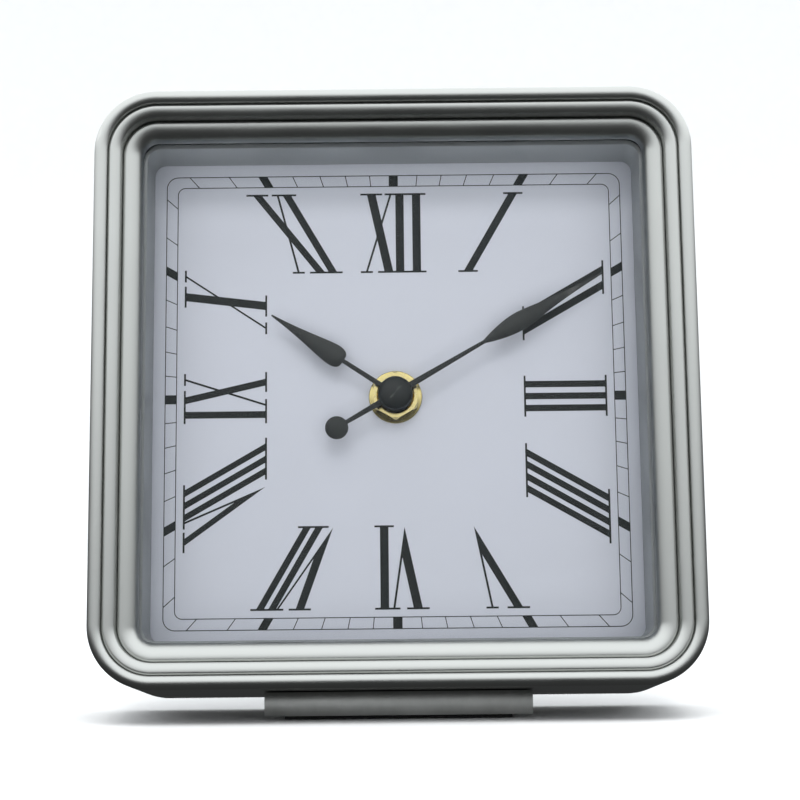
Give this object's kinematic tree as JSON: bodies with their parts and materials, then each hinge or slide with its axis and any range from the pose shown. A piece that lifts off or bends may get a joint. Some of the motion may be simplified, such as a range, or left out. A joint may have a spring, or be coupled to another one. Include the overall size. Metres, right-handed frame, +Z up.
{
  "type": "table clock",
  "caption": "Square silver table clock with a stepped frame, deep recessed white dial with Roman numerals, two spade hands and a battery movement.",
  "frame": {"origin": "centre of the foot pad's lower face, on the surface that the clock stands on", "axes": "+Z up, the dial faces -Y and leans back 7.5 degrees, +X to the viewer's right"},
  "size_m": [0.1394, 0.0615, 0.1463],
  "materials": {
    "case_silver": "thin pressed aluminium with a satin silver finish of very fine grain",
    "surround_silver": "moulded plastic sprayed satin silver grey",
    "lens_clear": "clear flat glass",
    "dial_white": "thin aluminium sheet with a matt white coat, cool in shade",
    "dial_print": "matt black ink",
    "hand_black": "semi-matt black lacquer on thin stamped metal",
    "brass": "bright turned brass",
    "cover_grey": "fine textured dark grey plastic",
    "movement_black": "fine textured black plastic",
    "wheel_plastic": "natural acetal plastic",
    "steel": "plated steel",
    "rubber_black": "matt black rubber",
    "copper_wire": "enamelled copper wire",
    "board_green": "solder-masked circuit board",
    "battery_wrap": "plain printed wrap with metal ends"
  },
  "bodies": {
    "case": {"front_case": "case_silver", "lens": "lens_clear", "dial_surround": "surround_silver", "dial_plate": "dial_white", "back_cover": "cover_grey", "back_cover_screw_1": "steel", "back_cover_screw_2": "steel", "back_cover_screw_3": "steel", "back_cover_screw_4": "steel", "foot": "case_silver", "foot_pad": "rubber_black", "foot_screw_1": "steel", "foot_screw_2": "steel", "foot_nut_1": "steel", "foot_nut_2": "steel", "brass_washer": "brass", "fixing_nut": "brass", "rubber_washer": "rubber_black", "movement_housing": "movement_black", "movement_front_plate": "movement_black", "threaded_bush": "brass", "middle_plate": "wheel_plastic", "train_plate": "wheel_plastic", "stator": "steel", "coil_core": "steel", "coil_bobbin": "wheel_plastic", "coil_winding": "copper_wire", "circuit_board": "board_green", "chip": "movement_black", "quartz_crystal": "steel", "contact_positive": "steel", "contact_negative": "steel"},
    "minute_shaft": {"minute_pipe": "brass", "minute_hand": "hand_black", "hand_cap": "hand_black"},
    "hour_shaft": {"hour_wheel": "wheel_plastic", "hour_hand": "hand_black"},
    "minute_wheel": {"minute_wheel": "wheel_plastic"},
    "setting_knob": {"setting_knob": "movement_black"},
    "seconds_wheel": {"seconds_wheel": "wheel_plastic"},
    "intermediate_wheel": {"intermediate_wheel": "wheel_plastic"},
    "rotor": {"rotor": "steel"},
    "third_wheel": {"third_wheel": "wheel_plastic"},
    "centre_wheel": {"centre_wheel": "wheel_plastic"},
    "battery": {"battery": "battery_wrap"}
  },
  "joints": [
    {"name": "minute_turn", "type": "hinge", "parent": "case", "child": "minute_shaft", "pos_m": [0, 0.00663, 0.07442], "axis": [0, 0.9914, -0.1305], "continuous": true},
    {"name": "hour_turn", "type": "hinge", "parent": "case", "child": "hour_shaft", "pos_m": [0, 0.00663, 0.07442], "axis": [0, 0.9914, -0.1305], "continuous": true},
    {"name": "minute_wheel_turn", "type": "hinge", "parent": "case", "child": "minute_wheel", "pos_m": [0.008, 0.00663, 0.07442], "axis": [0, 0.9914, -0.1305], "continuous": true},
    {"name": "setting_knob_turn", "type": "hinge", "parent": "case", "child": "setting_knob", "pos_m": [0.013, 0.00776, 0.083], "axis": [0, 0.9914, -0.1305], "continuous": true},
    {"name": "seconds_turn", "type": "hinge", "parent": "case", "child": "seconds_wheel", "pos_m": [0, 0.00663, 0.07442], "axis": [0, 0.9914, -0.1305], "continuous": true},
    {"name": "intermediate_turn", "type": "hinge", "parent": "case", "child": "intermediate_wheel", "pos_m": [0, 0.00761, 0.08191], "axis": [0, 0.9914, -0.1305], "continuous": true},
    {"name": "rotor_turn", "type": "hinge", "parent": "case", "child": "rotor", "pos_m": [0, 0.00846, 0.08834], "axis": [0, 0.9914, -0.1305], "continuous": true},
    {"name": "third_turn", "type": "hinge", "parent": "case", "child": "third_wheel", "pos_m": [-0.00736, 0.00718, 0.07863], "axis": [0, 0.9914, -0.1305], "continuous": true},
    {"name": "centre_turn", "type": "hinge", "parent": "case", "child": "centre_wheel", "pos_m": [0, 0.00663, 0.07442], "axis": [0, 0.9914, -0.1305], "continuous": true},
    {"name": "battery_lift_out", "type": "slide", "parent": "case", "child": "battery", "axis": [0, 0.9914, -0.1305], "range_m": [0, 0.025]}
  ],
  "couplings": [
    {"joint": "hour_turn", "follows": "minute_turn", "ratio": 0.083333},
    {"joint": "minute_wheel_turn", "follows": "minute_turn", "ratio": -0.33333},
    {"joint": "setting_knob_turn", "follows": "minute_turn", "ratio": 0.5},
    {"joint": "intermediate_turn", "follows": "seconds_turn", "ratio": -6},
    {"joint": "rotor_turn", "follows": "seconds_turn", "ratio": 30},
    {"joint": "third_turn", "follows": "seconds_turn", "ratio": -0.13333},
    {"joint": "centre_turn", "follows": "seconds_turn", "ratio": 0.016667}
  ]
}
